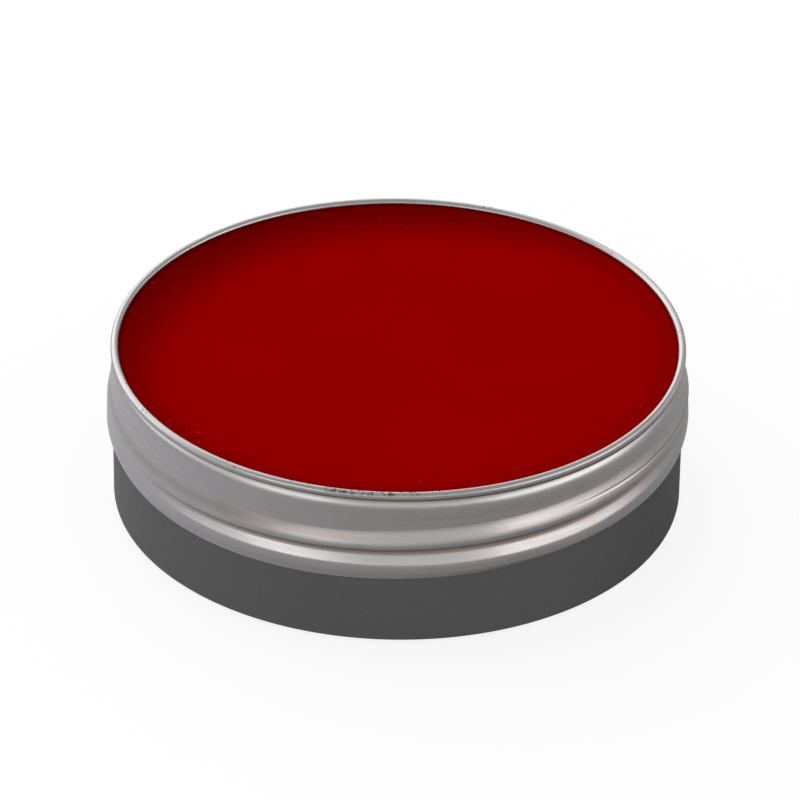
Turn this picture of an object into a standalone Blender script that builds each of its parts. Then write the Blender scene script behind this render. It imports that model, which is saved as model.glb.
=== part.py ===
"""Open round aluminium screw tin filled with solid paint.

Metres, +Z up.  The origin is the centre of the ring that the tin stands on,
and the tin's front faces -Y.  Turns are counted from the front towards +X.
"""

import math

import bpy

MM = 0.001

# Sheet-metal tin
TIN_HEIGHT = 24.5 * MM
SHEET = 0.4 * MM
WALL_RADIUS = 40.5 * MM
CORNER_RADIUS = 1.3 * MM
STAND_RING_WIDTH = 2.0 * MM
PANEL_RECESS = 0.8 * MM
PANEL_STEP_WIDTH = 1.0 * MM

# Rolled collar: a stop bead under one and a quarter turns of thread
FLARE_HEIGHT = 10.55 * MM
FLARE_FILLET = 0.2 * MM
FLARE_RADIUS = 41.12 * MM
FLARE_RISE = 0.25 * MM
FLARE_LEAN = 0.68 * MM
FLARE_LIFT = 0.68 * MM
BEAD_RADIUS = 41.75 * MM
BEAD_HEIGHT = 12.95 * MM
BEAD_CURVE = 3.8 * MM
BEAD_UNDERCUT = math.radians(16.2)
BEAD_LEAN = 0.95 * MM
THREAD_TOP_RADIUS = 41.68 * MM
THREAD_TOP_HEIGHT = 16.35 * MM
THREAD_TOP_SAG = 0.6 * MM
THREAD_TOP_CLIMB = 0.92 * MM
THREAD_TOP_FALL = 2.3 * MM
THREAD_TOP_EASE = 0.6 * MM
THREAD_TOP_LOW_TURN = -1.1
THREAD_TOP_HIGH_TURN = 1.3
SAG_TURN = 0.1
SAG_SPAN = 0.6
EASE_TURN = -0.1
EASE_SPAN = 0.8
CREST_ROUNDING = 0.25
CREST_IN_TURN = -1.65
CREST_IN_SPAN = 0.7
CREST_OUT_TURN = 2.9
CREST_OUT_SPAN = 1.0
GROOVE_DEPTH = 0.62 * MM
GROOVE_BELOW = 2.2 * MM
GROOVE_ABOVE = 0.72 * MM
GROOVE_START_HEIGHT = 14.4 * MM
THREAD_PITCH = 3.6 * MM
THREAD_LATE_CLIMB = 0.45 * MM
LATE_CLIMB_START = 0.4
LATE_CLIMB_SPAN = 0.5
THREAD_START = math.radians(-90.0)
THREAD_CLIMB_START = math.radians(-60.0)
THREAD_END = math.radians(306.0)
THREAD_FADE_IN = math.radians(65.0)
THREAD_FADE_OUT = math.radians(38.0)
RAMP_END = 0.25

# Neck and rolled rim
NECK_RADIUS = 40.95 * MM
NECK_LOW = 20.2 * MM
NECK_HIGH = 21.6 * MM
COVE_CURVE = 2.6 * MM
COVE_ANGLE = math.radians(35.5)
COVE_SAG = 0.5 * MM
RIM_RADIUS = 40.5 * MM
RIM_ROLL = 0.56 * MM
RIM_DROOP = 0.75 * MM
RIM_ROLL_START = math.radians(-105.0)

# Wrap-round label
LABEL_OUTER_RADIUS = 41.05 * MM
LABEL_THICKNESS = 0.25 * MM
LABEL_LOW = 0.5 * MM
LABEL_HIGH = 10.74 * MM

# Paint
GAP = 0.3 * MM
PAINT_TOP = 23.7 * MM
PAINT_DISH = 0.15 * MM
PAINT_COLLAR_RADIUS = 40.1 * MM
PAINT_COLLAR_LOW = 12.3 * MM
PAINT_STEP = 0.9 * MM

SEGMENTS = 72
COLLAR_STEPS = 14
ARC_STEP = math.radians(30.0)


def clear_scene():
    for item in list(bpy.data.objects):
        bpy.data.objects.remove(item, do_unlink=True)


def make_material(name, color, roughness, metallic):
    material = bpy.data.materials.new(name)
    material.use_nodes = True
    shader = material.node_tree.nodes["Principled BSDF"]
    shader.inputs["Base Color"].default_value = (*color, 1.0)
    shader.inputs["Roughness"].default_value = roughness
    shader.inputs["Metallic"].default_value = metallic
    material.diffuse_color = (*color, 1.0)
    return material


def arc(center, radius, start, end):
    """Points (radius, height) along an arc, both ends included."""
    steps = max(1, math.ceil(abs(end - start) / ARC_STEP))
    points = []
    for i in range(steps + 1):
        angle = start + (end - start) * i / steps
        points.append((center[0] + radius * math.cos(angle), center[1] + radius * math.sin(angle)))
    return points


def smooth(value):
    """Ease from 0 to 1 over the unit interval."""
    value = min(max(value, 0.0), 1.0)
    return value * value * (3.0 - 2.0 * value)


def even_ramp(value):
    """Ease from 0 to 1 with an even slope between short rounded ends."""
    value = min(max(value, 0.0), 1.0)
    near = min(value, 1.0 - value)
    if near < RAMP_END:
        share = near * near / (2.0 * RAMP_END * (1.0 - RAMP_END))
    else:
        share = (near - RAMP_END / 2.0) / (1.0 - RAMP_END)
    return share if value < 0.5 else 1.0 - share


def groove_depth(turn, height):
    """Depth of the helical groove at one turn angle and height."""
    depth = 0.0
    for lap in (-1, 0, 1):
        along = turn + lap * math.tau
        if along < THREAD_START or along > THREAD_END:
            continue
        turns = max(0.0, along - THREAD_CLIMB_START) / math.tau
        late = smooth((turns - LATE_CLIMB_START) / LATE_CLIMB_SPAN)
        center = GROOVE_START_HEIGHT + THREAD_PITCH * turns + THREAD_LATE_CLIMB * late
        fade = smooth((along - THREAD_START) / THREAD_FADE_IN)
        fade *= smooth((THREAD_END - along) / THREAD_FADE_OUT)
        if height < center:
            share = even_ramp(1.0 - (center - height) / min(GROOVE_BELOW, center - BEAD_HEIGHT))
        else:
            share = math.exp(-(((height - center) / GROOVE_ABOVE) ** 2))
        depth += GROOVE_DEPTH * fade * share
    return depth


def thread_top(turn):
    """Height where the thread's crest starts to fall away to the neck."""
    climb = THREAD_TOP_CLIMB * min(max(turn, THREAD_TOP_LOW_TURN), THREAD_TOP_HIGH_TURN)
    sag = THREAD_TOP_SAG * smooth((SAG_TURN - turn) / SAG_SPAN)
    crest = smooth((turn - CREST_IN_TURN) / CREST_IN_SPAN)
    crest *= smooth((CREST_OUT_TURN - turn) / CREST_OUT_SPAN)
    return THREAD_TOP_HEIGHT + (climb - sag) * crest


def collar_radius(turn, height):
    """Outer radius of the threaded collar between the bead and the neck."""
    top = thread_top(turn)
    width = THREAD_TOP_FALL + THREAD_TOP_EASE * smooth((EASE_TURN - turn) / EASE_SPAN)
    share = (height - top) / min(width, NECK_LOW - top)
    share = min(max(share, 0.0), 1.0)
    fall = CREST_ROUNDING * smooth(share) + (1.0 - CREST_ROUNDING) * share
    bulge = smooth((THREAD_TOP_HEIGHT - height) / (THREAD_TOP_HEIGHT - BEAD_HEIGHT))
    radius = THREAD_TOP_RADIUS + (NECK_RADIUS - THREAD_TOP_RADIUS) * fall
    radius += (BEAD_RADIUS - THREAD_TOP_RADIUS) * bulge
    return radius - groove_depth(turn, height)


def bead_lean(turn):
    """Height added to the bead where it climbs on the +X side."""
    return BEAD_LEAN * max(0.0, math.sin(turn)) ** 5


def flare_lean(turn):
    """Height added to the flare and the label's top edge."""
    return FLARE_LEAN * math.sin(turn) + FLARE_LIFT * math.sin(turn) ** 4


def cove_sag(turn):
    """Depth by which the neck's top sits lower on the +X side."""
    return COVE_SAG * max(0.0, math.sin(turn))


def collar_profile(turn, inset):
    """Collar and neck from the flare up to the rim's root, moved inwards by inset."""
    fillet_center = (WALL_RADIUS + FLARE_FILLET, FLARE_HEIGHT)
    flare = arc(fillet_center, FLARE_FILLET, math.pi, math.radians(110.0))
    flare.append((FLARE_RADIUS, FLARE_HEIGHT + FLARE_RISE))
    bead = arc((BEAD_RADIUS - BEAD_CURVE, BEAD_HEIGHT), BEAD_CURVE, -BEAD_UNDERCUT, 0.0)
    points = [(radius - inset, height + flare_lean(turn)) for radius, height in flare]
    points += [(radius - inset, height + bead_lean(turn)) for radius, height in bead]
    for i in range(1, COLLAR_STEPS + 1):
        share = i / COLLAR_STEPS
        height = BEAD_HEIGHT + (NECK_LOW - BEAD_HEIGHT) * share
        lift = bead_lean(turn) * (1.0 - smooth(share))
        points.append((collar_radius(turn, height) - inset, height + lift))
    cove_center = (NECK_RADIUS - COVE_CURVE, NECK_HIGH - cove_sag(turn))
    points += arc(cove_center, COVE_CURVE - inset, 0.0, COVE_ANGLE)
    return points


def rim_profile(turn):
    """Rolled rim, its lower half drawn out towards the cove."""
    points = []
    for radius, height in arc((RIM_RADIUS, 0.0), RIM_ROLL, RIM_ROLL_START, math.pi):
        if height < 0.0:
            height *= (RIM_DROOP + cove_sag(turn)) / RIM_ROLL
        points.append((radius, TIN_HEIGHT - RIM_ROLL + height))
    return points


def tin_profile(turn):
    """Closed section of the tin from the axis underneath to the axis inside."""
    ring_outer = WALL_RADIUS - CORNER_RADIUS
    ring_inner = ring_outer - STAND_RING_WIDTH
    panel_edge = ring_inner - PANEL_STEP_WIDTH
    corner = (ring_outer, CORNER_RADIUS)
    outside = [(panel_edge, PANEL_RECESS), (ring_inner, 0.0)]
    outside += arc(corner, CORNER_RADIUS, -math.pi / 2, 0.0)
    outside += collar_profile(turn, 0.0)
    inside = [(panel_edge, PANEL_RECESS + SHEET), (ring_inner, SHEET)]
    inside += arc(corner, CORNER_RADIUS - SHEET, -math.pi / 2, 0.0)
    inside += collar_profile(turn, SHEET)
    return outside + rim_profile(turn) + inside[::-1]


def turned_mesh(name, profile, low_pole=None, high_pole=None):
    """Mesh of a section carried round the axis; profile(turn) gives the section.

    Poles are the heights where the section starts and ends on the axis.
    Without poles the section is a closed loop.
    """
    verts = []
    for i in range(SEGMENTS):
        turn = math.tau * i / SEGMENTS - math.pi
        for radius, height in profile(turn):
            verts.append((radius * math.sin(turn), -radius * math.cos(turn), height))
    count = len(verts) // SEGMENTS
    closed = low_pole is None
    faces = []
    for i in range(SEGMENTS):
        here = i * count
        there = (i + 1) % SEGMENTS * count
        for j in range(count if closed else count - 1):
            following = (j + 1) % count
            faces.append((here + j, there + j, there + following, here + following))
    if not closed:
        bottom = len(verts)
        verts += [(0.0, 0.0, low_pole), (0.0, 0.0, high_pole)]
        for i in range(SEGMENTS):
            here = i * count
            there = (i + 1) % SEGMENTS * count
            faces.append((bottom, there, here))
            faces.append((bottom + 1, here + count - 1, there + count - 1))
    mesh = bpy.data.meshes.new(name)
    mesh.from_pydata(verts, [], faces)
    mesh.validate()
    mesh.shade_smooth()
    mesh.set_sharp_from_angle(angle=math.radians(35.0))
    return mesh


def add_part(name, mesh, material):
    mesh.materials.append(material)
    part = bpy.data.objects.new(name, mesh)
    bpy.context.scene.collection.objects.link(part)
    return part


def build_tin_body():
    mesh = turned_mesh("tin_body", tin_profile, PANEL_RECESS, PANEL_RECESS + SHEET)
    material = make_material("satin_aluminium", (0.62, 0.61, 0.60), 0.38, 1.0)
    return add_part("tin_body", mesh, material)


def label_profile(turn):
    inner = LABEL_OUTER_RADIUS - LABEL_THICKNESS
    top = LABEL_HIGH + flare_lean(turn)
    return [(LABEL_OUTER_RADIUS, LABEL_LOW), (LABEL_OUTER_RADIUS, top), (inner, top), (inner, LABEL_LOW)]


def build_wrap_label():
    mesh = turned_mesh("wrap_label", label_profile)
    material = make_material("charcoal_label", (0.075, 0.075, 0.073), 0.55, 0.0)
    return add_part("wrap_label", mesh, material)


def paint_profile(turn):
    """The paint fills the tin, so its side steps out behind the collar."""
    wall = WALL_RADIUS - SHEET - GAP
    mouth = RIM_RADIUS - RIM_ROLL - GAP
    floor = PANEL_RECESS + SHEET + GAP
    cove_top = NECK_HIGH + COVE_CURVE * math.sin(COVE_ANGLE)
    return [
        (wall, floor),
        (wall, PAINT_COLLAR_LOW - PAINT_STEP),
        (PAINT_COLLAR_RADIUS, PAINT_COLLAR_LOW),
        (PAINT_COLLAR_RADIUS, NECK_HIGH - GAP),
        (mouth, cove_top - 2.0 * GAP),
        (mouth, PAINT_TOP),
    ]


def build_paint():
    floor = PANEL_RECESS + SHEET + GAP
    mesh = turned_mesh("paint", paint_profile, floor, PAINT_TOP - PAINT_DISH)
    material = make_material("red_paint", (0.28, 0.002, 0.002), 0.35, 0.0)
    return add_part("paint", mesh, material)


def main():
    clear_scene()
    jar = bpy.data.objects.new("paint_jar", None)
    bpy.context.scene.collection.objects.link(jar)
    for part in (build_tin_body(), build_wrap_label(), build_paint()):
        part.parent = jar


main()
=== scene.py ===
"""Looks for the open aluminium screw tin filled with solid red paint.

Metres, +Z up, front towards -Y.  Turns are counted from the front towards +X.
"""

import math

import bpy
import numpy as np
from mathutils import Matrix, Vector

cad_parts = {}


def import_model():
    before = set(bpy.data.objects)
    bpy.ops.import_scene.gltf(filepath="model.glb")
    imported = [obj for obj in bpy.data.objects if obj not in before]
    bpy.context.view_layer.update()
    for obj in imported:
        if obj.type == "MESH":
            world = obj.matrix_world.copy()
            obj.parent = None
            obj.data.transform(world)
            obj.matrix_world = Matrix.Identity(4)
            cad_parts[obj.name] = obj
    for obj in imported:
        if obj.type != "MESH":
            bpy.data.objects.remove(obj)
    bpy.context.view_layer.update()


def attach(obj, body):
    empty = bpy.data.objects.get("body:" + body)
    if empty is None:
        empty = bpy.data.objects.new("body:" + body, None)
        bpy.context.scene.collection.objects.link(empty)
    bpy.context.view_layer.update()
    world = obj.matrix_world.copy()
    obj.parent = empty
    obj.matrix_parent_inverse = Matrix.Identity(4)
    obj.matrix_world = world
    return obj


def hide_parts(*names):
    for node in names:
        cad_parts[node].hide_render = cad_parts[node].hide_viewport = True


MM = 0.001

# Tin
TIN_HEIGHT = 24.5 * MM
SHEET = 0.4 * MM
WALL_RADIUS = 40.5 * MM
CORNER_RADIUS = 1.3 * MM
STAND_RING_WIDTH = 2.0 * MM
PANEL_RECESS = 0.8 * MM
PANEL_STEP_WIDTH = 1.0 * MM
FLARE_HEIGHT = 10.55 * MM
FLARE_FILLET = 0.2 * MM
FLARE_RADIUS = 41.12 * MM
FLARE_RISE = 0.25 * MM
BEAD_RADIUS = 41.75 * MM
BEAD_HEIGHT = 12.95 * MM
BEAD_CURVE = 3.8 * MM
BEAD_UNDERCUT = math.radians(16.2)
BEAD_LEAN = 0.95 * MM
FLARE_LEAN = 0.68 * MM
FLARE_LIFT = 0.68 * MM
THREAD_TOP_RADIUS = 41.68 * MM
THREAD_TOP_HEIGHT = 16.35 * MM
THREAD_TOP_SAG = 0.6 * MM
THREAD_TOP_CLIMB = 0.92 * MM
THREAD_TOP_FALL = 2.3 * MM
THREAD_TOP_EASE = 1.2 * MM
THREAD_TOP_LOW_TURN = -1.1
THREAD_TOP_HIGH_TURN = 1.3
SAG_TURN = 0.1
SAG_SPAN = 0.6
EASE_TURN = -0.1
EASE_SPAN = 0.8
CREST_ROUNDING = 0.25
CREST_IN_TURN = -1.65
CREST_IN_SPAN = 0.7
CREST_OUT_TURN = 2.9
CREST_OUT_SPAN = 1.0
THREAD_BACK_FALL = 2.0 * MM
THREAD_BACK_HEIGHT = 18.1 * MM
SECOND_TURN_HEIGHT = 19.1 * MM
SECOND_TURN_RISE = 0.14 * MM
SECOND_TURN_HALF_WIDTH = 0.65 * MM
SECOND_TURN_END = -1.1
SECOND_TURN_FADE = 0.45
CREASE_HEIGHT = 17.98 * MM
CREASE_DEPTH = 0.045 * MM
CREASE_HALF_WIDTH = 0.15 * MM
CREASE_START = math.radians(33.0)
CREASE_END = math.radians(92.0)
CREASE_FADE = 0.35
UNEVENNESS = 0.02 * MM
GROOVE_DEPTH = 0.62 * MM
GROOVE_BELOW = 2.2 * MM
GROOVE_ABOVE = 0.72 * MM
GROOVE_START_HEIGHT = 14.40 * MM
THREAD_PITCH = 3.6 * MM
THREAD_LATE_CLIMB = 0.45 * MM
LATE_CLIMB_START = 0.4
LATE_CLIMB_SPAN = 0.5
THREAD_START = math.radians(-90.0)
THREAD_CLIMB_START = math.radians(-60.0)
THREAD_END = math.radians(306.0)
THREAD_FADE_IN = math.radians(65.0)
THREAD_FADE_OUT = math.radians(38.0)
NECK_RADIUS = 40.95 * MM
NECK_LOW = 20.2 * MM
NECK_HIGH = 21.6 * MM
COVE_CURVE = 2.6 * MM
COVE_ANGLE = math.radians(35.5)
COVE_SAG = 0.5 * MM
RIM_RADIUS = 40.5 * MM
RIM_ROLL = 0.56 * MM
RIM_DROOP = 0.75 * MM
RIM_ROLL_START = math.radians(-105.0)
LABEL_OUTER_RADIUS = 40.92 * MM
LABEL_THICKNESS = 0.2 * MM
LABEL_LOW = 0.5 * MM
LABEL_HIGH = 10.74 * MM
LABEL_OVERLAP = math.radians(9.0)
LABEL_LAP_STEP = 0.06 * MM

# Paint
PAINT_MOUTH = 39.90 * MM
PAINT_EDGE_HEIGHT = 23.92 * MM
PAINT_LEVEL = 23.45 * MM
PAINT_BOTTOM = PANEL_RECESS + 0.7 * MM
PAINT_GAP = 0.3 * MM
PAINT_COLLAR_RADIUS = 40.1 * MM
PAINT_SHOULDER_RADIUS = 39.0 * MM
PAINT_WALL_TOP = 11.4 * MM
PAINT_COLLAR_LOW = 12.3 * MM
PAINT_COLLAR_HIGH = 21.3 * MM
PAINT_SHOULDER_HEIGHT = 22.9 * MM
MENISCUS = 0.8 * MM

# Camera
TARGET = Vector((0.0, 0.0, 11.98 * MM))
DISTANCE = 0.810
ELEVATION = math.radians(31.88)
ROLL = math.radians(0.705)
LENS = 253.4
SHIFT = (0.0031, 0.01746)

# Light
SKY = 0.50
GLOW = 1.4
GLOW_FROM = (-0.60, 0.79, 0.14)
BAND = 0.60
BAND_FROM = (0.34, -0.94, 0.0)
FLOOR_SIZE = 12.0
FLOOR_HEIGHT = -0.05 * MM
CARD_HEIGHT = -0.15 * MM

# Mesh
SEGMENTS = 480
RAMP_END = 0.25
SHARP_ANGLE = math.radians(38.0)
CONE_SHARES = (0.0, 0.02, 0.06, 0.15, 0.3, 0.5, 0.75)
OUTSIDE_STEPS = (14, 84)
INSIDE_STEPS = (4, 12)


# --- shape helpers -------------------------------------------------------

def smooth(value):
    value = np.clip(value, 0.0, 1.0)
    return value * value * (3.0 - 2.0 * value)


def even_ramp(value):
    """Ease from 0 to 1 with an even slope between short rounded ends."""
    value = np.clip(value, 0.0, 1.0)
    near = np.minimum(value, 1.0 - value)
    bend = near * near / (2.0 * RAMP_END * (1.0 - RAMP_END))
    bend = np.where(near < RAMP_END, bend, (near - RAMP_END / 2.0) / (1.0 - RAMP_END))
    return np.where(value < 0.5, bend, 1.0 - bend)


def arc(center, radius, start, end, steps):
    angles = np.linspace(start, end, steps + 1)
    return center[0] + radius * np.cos(angles), center[1] + radius * np.sin(angles)


def groove_depth(turn, height):
    depth = 0.0
    for lap in (-1, 0, 1):
        along = turn + lap * math.tau
        inside = (along >= THREAD_START) & (along <= THREAD_END)
        turns = max(0.0, along - THREAD_CLIMB_START) / math.tau
        climb = THREAD_PITCH * turns
        climb = climb + THREAD_LATE_CLIMB * smooth((turns - LATE_CLIMB_START) / LATE_CLIMB_SPAN)
        fade = smooth((along - THREAD_START) / THREAD_FADE_IN)
        fade = fade * smooth((THREAD_END - along) / THREAD_FADE_OUT) * inside
        offset = height - GROOVE_START_HEIGHT - climb
        below = min(GROOVE_BELOW, GROOVE_START_HEIGHT + climb - BEAD_HEIGHT)
        flank = even_ramp(1.0 + offset / below)
        shoulder = np.exp(-(offset / GROOVE_ABOVE) ** 2)
        depth = depth + GROOVE_DEPTH * fade * np.where(offset < 0.0, flank, shoulder)
    return depth


def thread_top(turn):
    """Height where the thread's crest starts to fall away to the neck."""
    climb = THREAD_TOP_CLIMB * min(max(turn, THREAD_TOP_LOW_TURN), THREAD_TOP_HIGH_TURN)
    return THREAD_TOP_HEIGHT + climb - THREAD_TOP_SAG * smooth((SAG_TURN - turn) / SAG_SPAN)


def crest(height, top, width):
    share = np.clip((height - top) / width, 0.0, 1.0)
    fall = CREST_ROUNDING * smooth(share) + (1.0 - CREST_ROUNDING) * share
    return THREAD_TOP_RADIUS + (NECK_RADIUS - THREAD_TOP_RADIUS) * fall


def collar_radius(turn, height):
    """Outer radius between the bead and the neck, with the thread rolled in."""
    started = smooth((turn - CREST_IN_TURN) / CREST_IN_SPAN)
    started = started * smooth((CREST_OUT_TURN - turn) / CREST_OUT_SPAN)
    top = thread_top(turn)
    fall = THREAD_TOP_FALL + THREAD_TOP_EASE * smooth((EASE_TURN - turn) / EASE_SPAN)
    high = crest(height, top, min(fall, NECK_LOW - top)) * started
    high = high + crest(height, THREAD_BACK_HEIGHT, THREAD_BACK_FALL) * (1.0 - started)
    second = started * smooth((SECOND_TURN_END - turn) / SECOND_TURN_FADE)
    offset = (height - SECOND_TURN_HEIGHT) / SECOND_TURN_HALF_WIDTH
    high = high + SECOND_TURN_RISE * second * np.exp(-offset * offset)
    bulge = smooth((THREAD_TOP_HEIGHT - height) / (THREAD_TOP_HEIGHT - BEAD_HEIGHT))
    radius = high + (BEAD_RADIUS - THREAD_TOP_RADIUS) * bulge - groove_depth(turn, height)
    # The unevenness only cuts inwards, so that the collar stays inside the bead's radius.
    wave = np.sin(5.0 * turn + height / MM) + np.sin(9.0 * turn - 0.7 * height / MM + 1.3)
    wave = wave * smooth((height - BEAD_HEIGHT) / MM) * smooth((NECK_LOW - height) / MM)
    offset = (height - CREASE_HEIGHT) / CREASE_HALF_WIDTH
    crease = CREASE_DEPTH * np.exp(-offset * offset)
    crease = crease * smooth((turn - CREASE_START) / CREASE_FADE)
    crease = crease * smooth((CREASE_END - turn) / CREASE_FADE)
    return radius + UNEVENNESS * (wave - 2.0) / 2.0 * (wave != 0.0) - crease


def bead_lean(turn, weight):
    """Height added where the bead climbs on the +X side."""
    return BEAD_LEAN * weight * max(0.0, math.sin(turn)) ** 5


def flare_lean(turn):
    return FLARE_LEAN * math.sin(turn) + FLARE_LIFT * math.sin(turn) ** 4


def cove_sag(turn):
    """Depth by which the neck's top sits lower on the +X side."""
    return COVE_SAG * max(0.0, math.sin(turn))


def collar_profile(turn, inset, arc_steps, collar_steps):
    fillet_center = (WALL_RADIUS + FLARE_FILLET, FLARE_HEIGHT)
    fillet = arc(fillet_center, FLARE_FILLET, math.pi, math.radians(110.0), arc_steps)
    bead = arc((BEAD_RADIUS - BEAD_CURVE, BEAD_HEIGHT), BEAD_CURVE, -BEAD_UNDERCUT, 0.0, arc_steps)
    rise = np.linspace(BEAD_HEIGHT, NECK_LOW, collar_steps + 1)[1:]
    weight = 1.0 - smooth((rise - BEAD_HEIGHT) / (NECK_LOW - BEAD_HEIGHT))
    cove_center = (NECK_RADIUS - COVE_CURVE, NECK_HIGH - cove_sag(turn))
    cove = arc(cove_center, COVE_CURVE, 0.0, COVE_ANGLE, arc_steps)
    flare_top = FLARE_HEIGHT + FLARE_RISE
    share = np.array(CONE_SHARES)
    cone_radius = FLARE_RADIUS + (bead[0][0] - FLARE_RADIUS) * share
    cone_height = flare_top + (bead[1][0] - flare_top) * share
    radius = np.concatenate([fillet[0], cone_radius, bead[0], collar_radius(turn, rise), cove[0]])
    height = np.concatenate([
        fillet[1] + flare_lean(turn),
        cone_height + flare_lean(turn) * (1.0 - share) + bead_lean(turn, 1.0) * share,
        bead[1] + bead_lean(turn, 1.0),
        rise + bead_lean(turn, weight),
        cove[1],
    ])
    return radius - inset, height


def turned_mesh(name, profile, closed, poles=None):
    """Mesh of a section carried round the axis; profile(turn) gives radii and heights."""
    turns = np.linspace(-math.pi, math.pi, SEGMENTS, endpoint=False)
    rings = []
    for turn in turns:
        radius, height = profile(turn)
        rings.append(np.column_stack([radius * math.sin(turn), -radius * math.cos(turn), height]))
    count = len(rings[0])
    verts = np.concatenate(rings)
    i = np.arange(SEGMENTS)[:, None]
    j = np.arange(count if closed else count - 1)[None, :]
    here = i * count
    there = (i + 1) % SEGMENTS * count
    following = (j + 1) % count
    quads = np.stack([here + j, there + j, there + following, here + following], axis=-1)
    faces = quads.reshape(-1, 4).tolist()
    verts = verts.tolist()
    if poles is not None:
        bottom = len(verts)
        verts += [(0.0, 0.0, poles[0]), (0.0, 0.0, poles[1])]
        for k in range(SEGMENTS):
            first = k * count
            second = (k + 1) % SEGMENTS * count
            faces.append((bottom, second, first))
            faces.append((bottom + 1, first + count - 1, second + count - 1))
    mesh = bpy.data.meshes.new(name)
    mesh.from_pydata(verts, [], faces)
    mesh.validate()
    mesh.shade_smooth()
    mesh.set_sharp_from_angle(angle=SHARP_ANGLE)
    return mesh


def add_piece(name, mesh, material, node):
    mesh.materials.append(material)
    piece = bpy.data.objects.new(name, mesh)
    bpy.context.scene.collection.objects.link(piece)
    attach(piece, "root")
    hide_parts(node)


# --- pieces --------------------------------------------------------------

def tin_profile(turn):
    ring_outer = WALL_RADIUS - CORNER_RADIUS
    ring_inner = ring_outer - STAND_RING_WIDTH
    panel_edge = ring_inner - PANEL_STEP_WIDTH
    corner = (ring_outer, CORNER_RADIUS)
    panel = np.linspace(0.15, 1.0, 12) * panel_edge
    radius = [panel, [ring_inner]]
    height = [np.full(len(panel), PANEL_RECESS), [0.0]]
    bend = arc(corner, CORNER_RADIUS, -math.pi / 2, 0.0, 10)
    collar = collar_profile(turn, 0.0, *OUTSIDE_STEPS)
    rim_center = TIN_HEIGHT - RIM_ROLL
    rim = arc((RIM_RADIUS, rim_center), RIM_ROLL, RIM_ROLL_START, math.pi, 40)
    below = rim[1] < rim_center
    droop = (RIM_DROOP + cove_sag(turn)) / RIM_ROLL
    rim[1][below] = rim_center + (rim[1][below] - rim_center) * droop
    inside = collar_profile(turn, SHEET, *INSIDE_STEPS)
    inner_bend = arc(corner, CORNER_RADIUS - SHEET, -math.pi / 2, 0.0, 4)
    radius += [bend[0], collar[0], rim[0], inside[0][::-1], inner_bend[0][::-1]]
    height += [bend[1], collar[1], rim[1], inside[1][::-1], inner_bend[1][::-1]]
    radius += [[ring_inner, panel_edge]]
    height += [[SHEET, PANEL_RECESS + SHEET]]
    return np.concatenate(radius), np.concatenate(height)


def label_profile(turn):
    inner = LABEL_OUTER_RADIUS - LABEL_THICKNESS
    lap = smooth((turn - math.pi + LABEL_OVERLAP) / LABEL_OVERLAP)
    outer = LABEL_OUTER_RADIUS + LABEL_LAP_STEP * lap
    top = LABEL_HIGH + flare_lean(turn)
    edge = 0.05 * MM
    rise = np.linspace(LABEL_LOW + edge, top - edge, 12)
    radius = np.concatenate([
        [outer - edge],
        np.full(len(rise), outer),
        [outer - edge, inner, inner],
    ])
    height = np.concatenate([[LABEL_LOW], rise, [top, top, LABEL_LOW]])
    return radius, height


def paint_profile(turn):
    radius = np.concatenate([
        np.linspace(1.0 * MM, PAINT_MOUTH - 3.0 * MM, 24),
        np.linspace(PAINT_MOUTH - 2.9 * MM, PAINT_MOUTH, 30),
    ])[::-1]
    climb = (PAINT_EDGE_HEIGHT - PAINT_LEVEL) * np.exp(-(PAINT_MOUTH - radius) / MENISCUS)
    height = PAINT_LEVEL + climb
    floor = PANEL_RECESS + SHEET + PAINT_GAP
    wall = WALL_RADIUS - SHEET - PAINT_GAP
    side_radius = [wall, wall, PAINT_COLLAR_RADIUS, PAINT_COLLAR_RADIUS, PAINT_SHOULDER_RADIUS]
    side_height = [
        floor,
        PAINT_WALL_TOP,
        PAINT_COLLAR_LOW,
        PAINT_COLLAR_HIGH,
        PAINT_SHOULDER_HEIGHT,
    ]
    return np.concatenate([side_radius, radius]), np.concatenate([side_height, height])


# --- materials -----------------------------------------------------------

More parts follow.
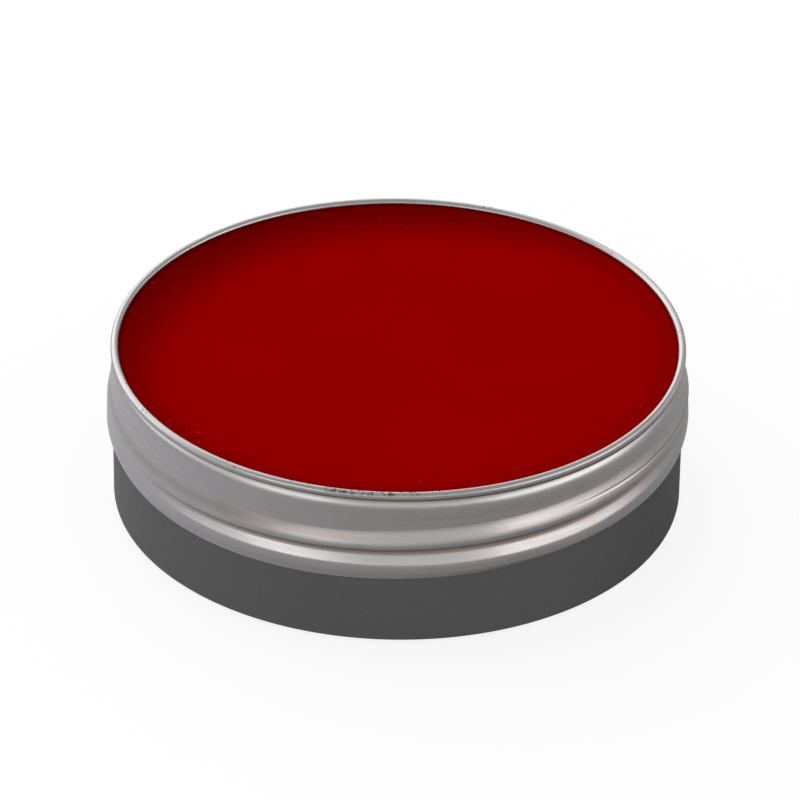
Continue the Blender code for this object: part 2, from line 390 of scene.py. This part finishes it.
class Nodes:
    """Short hand for building a node tree."""

    def __init__(self, owner, shader="Principled BSDF", place="Object"):
        owner.use_nodes = True
        self.owner = owner
        self.tree = owner.node_tree
        self.shader = self.tree.nodes[shader]
        self.place = self.tree.nodes.new("ShaderNodeTexCoord").outputs[place]

    def feed(self, socket, value):
        if isinstance(value, bpy.types.NodeSocket):
            self.tree.links.new(value, socket)
        else:
            socket.default_value = value

    def math(self, operation, first, second=0.0):
        node = self.tree.nodes.new("ShaderNodeMath")
        node.operation = operation
        self.feed(node.inputs[0], first)
        self.feed(node.inputs[1], second)
        return node.outputs[0]

    def dot(self, direction):
        node = self.tree.nodes.new("ShaderNodeVectorMath")
        node.operation = "DOT_PRODUCT"
        node.inputs[1].default_value = direction
        self.feed(node.inputs[0], self.place)
        return node.outputs["Value"]

    def split(self, vector):
        node = self.tree.nodes.new("ShaderNodeSeparateXYZ")
        self.feed(node.inputs[0], vector)
        return node.outputs

    def join(self, x, y, z):
        node = self.tree.nodes.new("ShaderNodeCombineXYZ")
        for socket, value in zip(node.inputs, (x, y, z)):
            self.feed(socket, value)
        return node.outputs[0]

    def noise(self, vector, scale, detail=3.0, roughness=0.5, distortion=0.0):
        node = self.tree.nodes.new("ShaderNodeTexNoise")
        self.feed(node.inputs["Vector"], vector)
        node.inputs["Scale"].default_value = scale
        node.inputs["Detail"].default_value = detail
        node.inputs["Roughness"].default_value = roughness
        node.inputs["Distortion"].default_value = distortion
        return node.outputs["Fac"]

    def spots(self, vector, scale):
        node = self.tree.nodes.new("ShaderNodeTexVoronoi")
        self.feed(node.inputs["Vector"], vector)
        node.inputs["Scale"].default_value = scale
        return node.outputs["Distance"]

    def span(self, value, low, high, to_low=0.0, to_high=1.0):
        node = self.tree.nodes.new("ShaderNodeMapRange")
        node.interpolation_type = "SMOOTHSTEP"
        self.feed(node.inputs["Value"], value)
        limits = (("From Min", low), ("From Max", high), ("To Min", to_low), ("To Max", to_high))
        for key, number in limits:
            self.feed(node.inputs[key], number)
        return node.outputs["Result"]

    def mix(self, factor, first, second):
        node = self.tree.nodes.new("ShaderNodeMix")
        node.data_type = "RGBA"
        self.feed(node.inputs["Factor"], factor)
        for key, color in (("A", first), ("B", second)):
            self.feed(node.inputs[key], (*color, 1.0) if isinstance(color, tuple) else color)
        return node.outputs["Result"]

    def bump(self, height, distance, strength=1.0, normal=None):
        node = self.tree.nodes.new("ShaderNodeBump")
        node.inputs["Strength"].default_value = strength
        node.inputs["Distance"].default_value = distance
        self.feed(node.inputs["Height"], height)
        if normal is not None:
            self.feed(node.inputs["Normal"], normal)
        return node.outputs["Normal"]

    def radius(self):
        x, y, z = self.split(self.place)
        squares = self.math("ADD", self.math("MULTIPLY", x, x), self.math("MULTIPLY", y, y))
        return self.math("SQRT", squares), x, y, z


def metal_material():
    """Rolled aluminium with grain round the tin, a cloudy sheen and knocks, plus painted shade in the
    crease under the curl and in the thread groove, and a painted dark line along the thread's crease.
    """
    n = Nodes(bpy.data.materials.new("satin_aluminium"))
    radius, x, y, z = n.radius()
    across = n.math("ADD", n.math("MULTIPLY", z, 2400.0), n.math("MULTIPLY", radius, 1500.0))
    grain = n.join(n.math("MULTIPLY", x, 70.0), n.math("MULTIPLY", y, 70.0), across)
    streak = n.noise(grain, 1.0, 4.0, 0.6)
    cloud = n.noise(n.place, 90.0, 3.0, 0.55, 0.4)
    speckle = n.noise(n.place, 2600.0, 2.0, 0.6)
    tone = n.mix(cloud, (0.474, 0.457, 0.456), (0.543, 0.527, 0.526))
    tone = n.mix(n.span(streak, 0.25, 0.75, 0.0, 0.30), tone, (0.403, 0.389, 0.388))
    # Painted shade: a dark band in the crease under the rim curl, where shade falls.
    crease_shade = n.math("MULTIPLY", n.span(z, 22.95 * MM, 23.15 * MM), n.span(z, 23.80 * MM, 23.50 * MM))
    tone = n.mix(n.math("MULTIPLY", crease_shade, 0.62), tone, (0.075, 0.062, 0.058))
    # Painted shade: warm brown darkening inside the thread groove.
    groove_shade = n.math("MULTIPLY", n.span(radius, 41.5 * MM, 41.2 * MM), n.span(z, 14.3 * MM, 14.9 * MM))
    groove_shade = n.math("MULTIPLY", groove_shade, n.span(z, 18.2 * MM, 17.0 * MM))
    tone = n.mix(n.math("MULTIPLY", groove_shade, 0.55), tone, (0.40, 0.33, 0.29))
    turn = n.math("ARCTAN2", x, n.math("MULTIPLY", y, -1.0))
    # Painted shade: a thin dark line along the thread's crease on the +X side.
    crease_shade_line = n.math("ABSOLUTE", n.math("SUBTRACT", z, CREASE_HEIGHT + 0.1 * MM))
    crease_shade_line = n.span(crease_shade_line, 0.15 * MM, 0.05 * MM)
    crease_shade_line = n.math("MULTIPLY", crease_shade_line, n.math("MULTIPLY", n.span(turn, 0.62, 1.0), n.span(turn, 1.6, 1.45)))
    tone = n.mix(n.math("MULTIPLY", crease_shade_line, 0.5), tone, (0.10, 0.085, 0.08))
    nick = n.span(n.spots(n.place, 1100.0), 0.24, 0.12)
    worn = n.span(n.noise(n.place, 120.0, 2.0), 0.54, 0.62)
    nick = n.math("MULTIPLY", nick, worn)
    curl = n.join(n.math("MULTIPLY", turn, 70.0), n.math("MULTIPLY", radius, 1800.0), 0.0)
    dent = n.noise(curl, 1.0, 2.0)
    knocked = n.math("MULTIPLY", n.span(turn, -0.26, -0.22), n.span(turn, 0.10, 0.04))
    nick = n.math("MAXIMUM", nick, n.math("MULTIPLY", n.span(dent, 0.50, 0.60), knocked))
    nick = n.math("MULTIPLY", nick, n.span(z, 24.1 * MM, 24.4 * MM))
    tone = n.mix(n.math("MULTIPLY", nick, 0.75), tone, (0.05, 0.045, 0.042))
    n.feed(n.shader.inputs["Base Color"], tone)
    n.shader.inputs["Metallic"].default_value = 1.0
    rough = n.math("ADD", n.span(streak, 0.2, 0.8, 0.24, 0.34), n.span(cloud, 0.2, 0.8, -0.03, 0.05))
    n.feed(n.shader.inputs["Roughness"], rough)
    normal = n.bump(n.noise(n.place, 220.0, 2.0, 0.5), 0.05 * MM, 0.5)
    normal = n.bump(streak, 0.004 * MM, 0.6, normal)
    normal = n.bump(speckle, 0.003 * MM, 0.5, normal)
    normal = n.bump(n.math("SUBTRACT", 1.0, nick), 0.04 * MM, 0.8, normal)
    n.feed(n.shader.inputs["Normal"], normal)
    return n.owner


def label_material():
    """Charcoal printed film with a matt finish, with painted shade that darkens it towards +X."""
    n = Nodes(bpy.data.materials.new("charcoal_label"))
    fibre = n.noise(n.place, 1800.0, 3.0, 0.6)
    cloud = n.noise(n.place, 60.0, 2.0, 0.5)
    x = n.split(n.place)[0]
    tone = n.mix(cloud, (0.112, 0.112, 0.112), (0.124, 0.124, 0.124))
    tone = n.mix(n.span(fibre, 0.3, 0.7, 0.0, 0.35), tone, (0.100, 0.100, 0.100))
    # Painted shade: the label darkens towards its +X side.
    tone = n.mix(n.span(x, 22.0 * MM, 41.0 * MM, 0.0, 0.55), tone, (0.062, 0.062, 0.062))
    n.feed(n.shader.inputs["Base Color"], tone)
    n.feed(n.shader.inputs["Roughness"], n.span(fibre, 0.2, 0.8, 0.58, 0.72))
    n.shader.inputs["Specular IOR Level"].default_value = 0.2
    n.feed(n.shader.inputs["Normal"], n.bump(fibre, 0.006 * MM, 0.5))
    return n.owner


def paint_material():
    """Set red paint, nearly matt, with a faint skin, a few dry flecks near the rim, and painted shadow
    along the rim, deepest on the back-left.
    """
    n = Nodes(bpy.data.materials.new("red_paint"))
    radius, x, y, _ = n.radius()
    cloud = n.noise(n.place, 45.0, 3.0, 0.5, 0.6)
    skin = n.noise(n.place, 700.0, 3.0, 0.55)
    tone = n.mix(cloud, (0.358, 0.0, 0.0), (0.382, 0.0, 0.0))
    # Painted shadow of the rim: the paint darkens towards the rim, over a wider band and more deeply on
    # the back-left side.
    shadow_side = n.math("SUBTRACT", n.math("MULTIPLY", y, 0.85), n.math("MULTIPLY", x, 0.53))
    shadow_side = n.span(n.math("DIVIDE", shadow_side, n.math("MAXIMUM", radius, MM)), -0.1, 1.0)
    start = n.math("SUBTRACT", 35.6 * MM, n.math("MULTIPLY", shadow_side, 8.8 * MM))
    edge = n.span(radius, start, 39.0 * MM)
    depth = n.math("ADD", 0.20, n.math("MULTIPLY", shadow_side, 0.30))
    tone = n.mix(n.math("MULTIPLY", edge, depth), tone, (0.0, 0.0, 0.0))
    # Painted shadow: a thin dark ring where the paint meets the rim.
    tone = n.mix(n.span(radius, 39.35 * MM, 39.75 * MM, 0.0, 0.35), tone, (0.0, 0.0, 0.0))
    near_rim = n.span(radius, 33.0 * MM, 38.5 * MM)
    patch = n.span(n.noise(n.place, 70.0, 1.0), 0.56, 0.68)
    fleck = n.span(n.spots(n.place, 700.0), 0.20, 0.10)
    fleck = n.math("MULTIPLY", fleck, n.math("MULTIPLY", near_rim, patch))
    tone = n.mix(n.math("MULTIPLY", fleck, 0.4), tone, (0.50, 0.06, 0.055))
    n.feed(n.shader.inputs["Base Color"], tone)
    n.feed(n.shader.inputs["Roughness"], n.span(skin, 0.2, 0.8, 0.55, 0.70))
    n.shader.inputs["Specular IOR Level"].default_value = 0.0
    normal = n.bump(cloud, 0.10 * MM, 0.6)
    normal = n.bump(skin, 0.006 * MM, 0.5, normal)
    normal = n.bump(fleck, 0.02 * MM, 1.0, normal)
    n.feed(n.shader.inputs["Normal"], normal)
    return n.owner


# --- stage ---------------------------------------------------------------

def plain_material(name, color):
    material = bpy.data.materials.new(name)
    material.use_nodes = True
    shader = material.node_tree.nodes["Principled BSDF"]
    shader.inputs["Base Color"].default_value = (*color, 1.0)
    shader.inputs["Roughness"].default_value = 1.0
    shader.inputs["Specular IOR Level"].default_value = 0.0
    return material


def sheet_of_floor(name, size, height, material):
    mesh = bpy.data.meshes.new(name)
    half = size / 2
    corners = [(x * half, y * half, height) for x, y in ((-1, -1), (1, -1), (1, 1), (-1, 1))]
    mesh.from_pydata(corners, [], [(0, 1, 2, 3)])
    mesh.materials.append(material)
    floor = bpy.data.objects.new(name, mesh)
    bpy.context.scene.collection.objects.link(floor)
    return floor


def softbox(name, azimuth, elevation, distance, width, height, radiance, color):
    """Area lamp aimed at the tin; azimuth is counted from the front towards +X."""
    lamp = bpy.data.lights.new(name, "AREA")
    lamp.shape = "RECTANGLE"
    lamp.size = width
    lamp.size_y = height
    lamp.energy = radiance * math.pi * width * height
    lamp.color = color
    light = bpy.data.objects.new(name, lamp)
    bpy.context.scene.collection.objects.link(light)
    a = math.radians(azimuth)
    e = math.radians(elevation)
    away = Vector((math.sin(a) * math.cos(e), -math.cos(a) * math.cos(e), math.sin(e)))
    light.location = TARGET + away * distance
    light.rotation_mode = "QUATERNION"
    light.rotation_quaternion = away.to_track_quat("Z", "Y")
    light.visible_camera = False
    return light


def build_stage():
    white = plain_material("white_floor", (0.22, 0.22, 0.22))
    shader = white.node_tree.nodes["Principled BSDF"]
    shader.inputs["Emission Color"].default_value = (1.0, 1.0, 1.0, 1.0)
    shader.inputs["Emission Strength"].default_value = 0.84
    floor = sheet_of_floor("floor", FLOOR_SIZE, FLOOR_HEIGHT, white)
    floor.visible_glossy = False
    floor.visible_diffuse = False
    floor.visible_shadow = False
    n = Nodes(bpy.data.materials.new("grey_card"))
    # Painted light: the card, which the metal reflects, carries a pale pool of light near the tin's
    # back-left and glows faintly all over.
    x, y, _ = n.split(n.place)
    squares = n.math("POWER", n.math("ADD", x, 70.0 * MM), 2.0)
    squares = n.math("ADD", squares, n.math("POWER", n.math("SUBTRACT", y, 40.0 * MM), 2.0))
    away = n.span(n.math("SQRT", squares), 25.0 * MM, 150.0 * MM)
    n.feed(n.shader.inputs["Base Color"], n.mix(away, (0.70, 0.70, 0.76), (0.385, 0.370, 0.368)))
    n.shader.inputs["Roughness"].default_value = 1.0
    n.shader.inputs["Specular IOR Level"].default_value = 0.0
    n.shader.inputs["Emission Color"].default_value = (1.0, 1.0, 1.0, 1.0)
    n.shader.inputs["Emission Strength"].default_value = 0.14
    card = sheet_of_floor("bounce_card", FLOOR_SIZE, CARD_HEIGHT, n.owner)
    card.visible_camera = False
    world = bpy.data.worlds.new("studio")
    bpy.context.scene.world = world
    n = Nodes(world, "Background", "Generated")
    n.shader.inputs["Color"].default_value = (1.0, 1.0, 1.0, 1.0)
    z = n.split(n.place)[2]
    glow = n.span(n.dot(GLOW_FROM), 0.42, 1.0, 0.0, GLOW)
    band = n.math("MULTIPLY", n.span(z, -0.02, 0.08), n.span(z, 0.42, 0.24))
    band = n.math("MULTIPLY", band, n.span(n.dot(BAND_FROM), -0.75, -0.1, 0.0, BAND))
    n.feed(n.shader.inputs["Strength"], n.math("ADD", n.math("ADD", glow, band), SKY))
    right = softbox("right", azimuth=66.0, elevation=11.0, distance=1.1,
                    width=1.25, height=0.5, radiance=1.15, color=(1.0, 0.94, 0.88))
    right.visible_diffuse = False
    softbox("left", azimuth=-40.0, elevation=11.0, distance=1.1,
            width=0.65, height=0.5, radiance=0.75, color=(1.0, 0.97, 0.94))


def build_camera():
    data = bpy.data.cameras.new("camera")
    data.lens = LENS
    data.sensor_width = 36.0
    data.shift_x = SHIFT[0]
    data.shift_y = SHIFT[1]
    data.clip_start = 0.05
    data.clip_end = 50.0
    camera = bpy.data.objects.new("camera", data)
    bpy.context.scene.collection.objects.link(camera)
    back = Vector((0.0, -math.cos(ELEVATION), math.sin(ELEVATION)))
    tilt = Matrix.Rotation(math.pi / 2 - ELEVATION, 4, "X")
    roll = Matrix.Rotation(ROLL, 4, "Z")
    camera.matrix_world = Matrix.Translation(TARGET + back * DISTANCE) @ tilt @ roll
    bpy.context.scene.camera = camera


def main():
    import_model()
    build_camera()
    build_stage()
    tin = turned_mesh("tin", tin_profile, False, (PANEL_RECESS, PANEL_RECESS + SHEET))
    add_piece("tin", tin, metal_material(), "tin_body")
    label = turned_mesh("label", label_profile, True)
    add_piece("label", label, label_material(), "wrap_label")
    paint = turned_mesh("paint_fill", paint_profile, False, (PAINT_BOTTOM, PAINT_LEVEL))
    add_piece("paint_fill", paint, paint_material(), "paint")
    bpy.context.scene.view_settings.view_transform = "Standard"


main()
